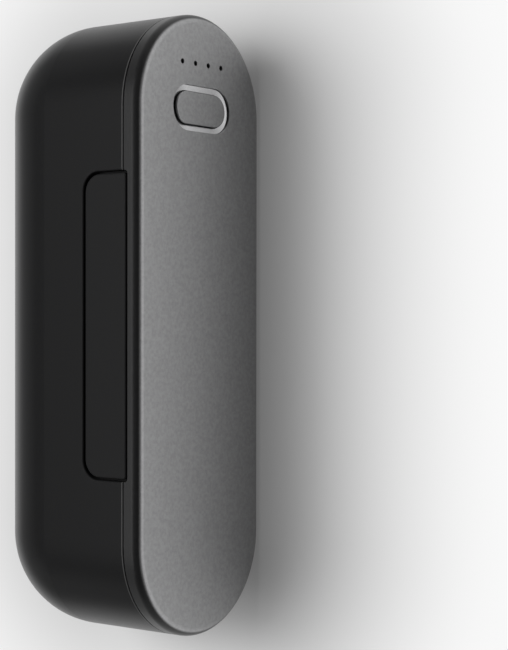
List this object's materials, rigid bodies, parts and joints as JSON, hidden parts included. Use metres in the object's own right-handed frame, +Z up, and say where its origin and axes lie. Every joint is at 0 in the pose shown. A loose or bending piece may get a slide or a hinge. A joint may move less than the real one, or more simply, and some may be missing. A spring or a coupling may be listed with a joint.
{
  "type": "rechargeable hand warmer",
  "caption": "Stadium-shaped rechargeable hand warmer: grey metal heated face, black round-backed shell, oval power key, level lights and a flexible flap over its sockets.",
  "frame": {"origin": "middle of the flat side that the bar lies on, below the middle of its bounding box", "axes": "+X along the bar towards the power key, -Y out of the heated face, +Z up, out of the side that carries the socket cover"},
  "size_m": [0.1, 0.0356, 0.0315],
  "materials": {
    "shell_black": "smooth matte",
    "cap_grey": "dark grey satin, fine grain",
    "seal_rubber": "matte",
    "cover_rubber": "smooth matte",
    "key_grey": "dark grey satin, fine grain",
    "ring_polished": "bright cut bevel",
    "switch_black": "matte",
    "plunger_white": "matte",
    "guide_smoke": "smoked translucent",
    "lamp_white": "moulded",
    "board_green": "lacquered glass-fibre board",
    "chip_black": "moulded",
    "coil_grey": "pressed ferrite",
    "capacitor_tan": "fired body with tinned ends",
    "socket_steel": "drawn sheet",
    "tongue_white": "moulded",
    "tongue_black": "moulded",
    "can_steel": "nickel plated",
    "core_foil": "wound foil",
    "gasket_white": "moulded",
    "sleeve_blue": "shrunk film",
    "strip_nickel": "nickel strip",
    "frame_black": "moulded",
    "screw_steel": "zinc plated",
    "film_amber": "polyimide film with etched foil",
    "foam_grey": "closed-cell foam",
    "lead_red": "insulated wire",
    "sensor_black": "dipped bead",
    "pad_silicone": "soft silicone"
  },
  "bodies": {
    "casing": {"back_shell": "shell_black", "front_cap": "cap_grey", "cap_seal": "seal_rubber", "cover_anchor": "cover_rubber", "button_ring": "ring_polished", "tact_switch": "switch_black", "light_guide": "guide_smoke", "indicator_leds": "lamp_white", "main_board": "board_green", "control_chips": "chip_black", "power_inductor": "coil_grey", "board_capacitors": "capacitor_tan", "output_socket_shell": "socket_steel", "output_socket_tongue": "tongue_white", "charging_socket_shell": "socket_steel", "charging_socket_tongue": "tongue_black", "cell_can": "can_steel", "cell_core": "core_foil", "cell_gasket": "gasket_white", "cell_terminal": "can_steel", "cell_sleeve": "sleeve_blue", "positive_strip": "strip_nickel", "negative_strip": "strip_nickel", "inner_frame": "frame_black", "frame_screws": "screw_steel", "board_screws": "screw_steel", "front_heater": "film_amber", "front_insulation": "foam_grey", "front_heater_leads": "lead_red", "temperature_sensor": "sensor_black", "back_heater": "film_amber", "cell_pads": "pad_silicone"},
    "cover": {"port_cover": "cover_rubber"},
    "button": {"power_button": "key_grey"},
    "plunger": {"switch_plunger": "plunger_white"}
  },
  "joints": [
    {"name": "cover_hinge", "type": "hinge", "parent": "casing", "child": "cover", "pos_m": [0, -0.01498, 0.03115], "axis": [1, 0, 0], "range_deg": [0, 95]},
    {"name": "button_press", "type": "slide", "parent": "casing", "child": "button", "axis": [0, 1, 0], "range_m": [0, 0.00035], "stiffness_N_per_m": 1500, "springref_m": -0.0005},
    {"name": "plunger_press", "type": "slide", "parent": "casing", "child": "plunger", "axis": [0, 1, 0], "range_m": [0, 0.00035]}
  ],
  "couplings": [
    {"joint": "plunger_press", "follows": "button_press", "ratio": 1}
  ]
}
